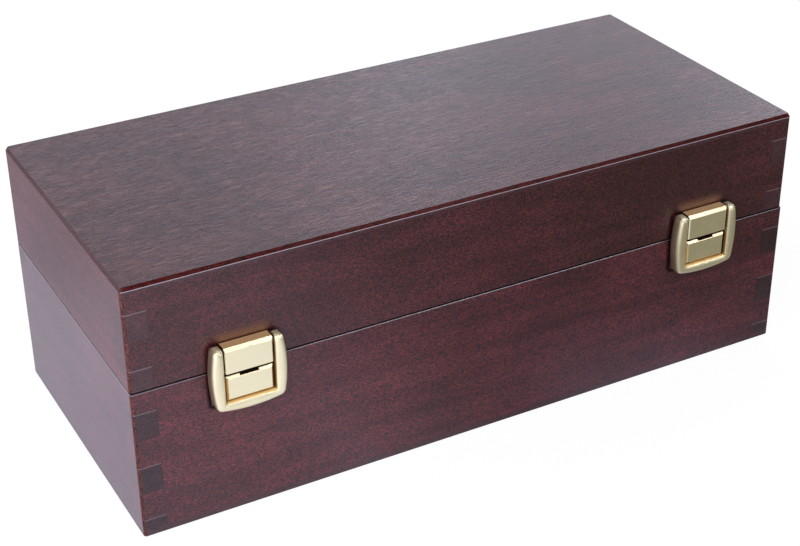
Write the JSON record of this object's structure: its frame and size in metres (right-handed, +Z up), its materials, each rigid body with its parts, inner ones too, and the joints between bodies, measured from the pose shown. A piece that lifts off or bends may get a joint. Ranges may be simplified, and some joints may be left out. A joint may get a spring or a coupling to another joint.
{
  "type": "microphone box",
  "caption": "Long wooden box with a hinged lid and brass draw latches, lined with foam to carry a large microphone.",
  "frame": {"origin": "centre of the bottom face, where the box stands", "axes": "+X along the length, to the right as seen from the latches; -Y towards the latches; +Z up"},
  "size_m": [0.3, 0.1432, 0.1095],
  "materials": {
    "wood": "dark red-brown, satin lacquer",
    "brass": "pale polished",
    "foam": "dark soft foam"
  },
  "bodies": {
    "base": {"base_front_panel": "wood", "base_back_panel": "wood", "base_left_panel": "wood", "base_right_panel": "wood", "base_bottom_panel": "wood", "base_foam_floor": "foam", "base_foam_insert": "foam", "hinge_left_base_leaf": "brass", "hinge_left_pin": "brass", "hinge_right_base_leaf": "brass", "hinge_right_pin": "brass", "hinge_screws_base": "brass", "latch_left_base_plate": "brass", "latch_right_base_plate": "brass", "latch_plate_screws": "brass"},
    "lid": {"lid_front_panel": "wood", "lid_back_panel": "wood", "lid_left_panel": "wood", "lid_right_panel": "wood", "lid_top_panel": "wood", "lid_foam_pad": "foam", "hinge_left_lid_leaf": "brass", "hinge_right_lid_leaf": "brass", "hinge_screws_lid": "brass", "latch_left_catch": "brass", "latch_right_catch": "brass", "latch_catch_screws": "brass"},
    "latch_left_lever": {"latch_left_lever": "brass", "latch_left_lever_pins": "brass", "latch_left_hasp_pin": "brass"},
    "latch_left_hasp": {"latch_left_hasp": "brass"},
    "latch_right_lever": {"latch_right_lever": "brass", "latch_right_lever_pins": "brass", "latch_right_hasp_pin": "brass"},
    "latch_right_hasp": {"latch_right_hasp": "brass"}
  },
  "joints": [
    {"name": "lid_hinge", "type": "hinge", "parent": "base", "child": "lid", "pos_m": [0, 0.0681, 0.06505], "axis": [-1, 0, 0], "range_deg": [0, 95]},
    {"name": "latch_left_lever_pivot", "type": "hinge", "parent": "base", "child": "latch_left_lever", "pos_m": [-0.105, -0.0699, 0.0742], "axis": [-1, 0, 0], "range_deg": [0, 105]},
    {"name": "latch_left_hasp_pivot", "type": "hinge", "parent": "latch_left_lever", "child": "latch_left_hasp", "pos_m": [-0.105, -0.0693, 0.0657], "axis": [-1, 0, 0], "range_deg": [-105, 0]},
    {"name": "latch_right_lever_pivot", "type": "hinge", "parent": "base", "child": "latch_right_lever", "pos_m": [0.105, -0.0699, 0.0742], "axis": [-1, 0, 0], "range_deg": [0, 105]},
    {"name": "latch_right_hasp_pivot", "type": "hinge", "parent": "latch_right_lever", "child": "latch_right_hasp", "pos_m": [0.105, -0.0693, 0.0657], "axis": [-1, 0, 0], "range_deg": [-105, 0]}
  ],
  "couplings": [
    {"joint": "latch_left_hasp_pivot", "follows": "latch_left_lever_pivot", "ratio": -1},
    {"joint": "latch_right_hasp_pivot", "follows": "latch_right_lever_pivot", "ratio": -1}
  ]
}
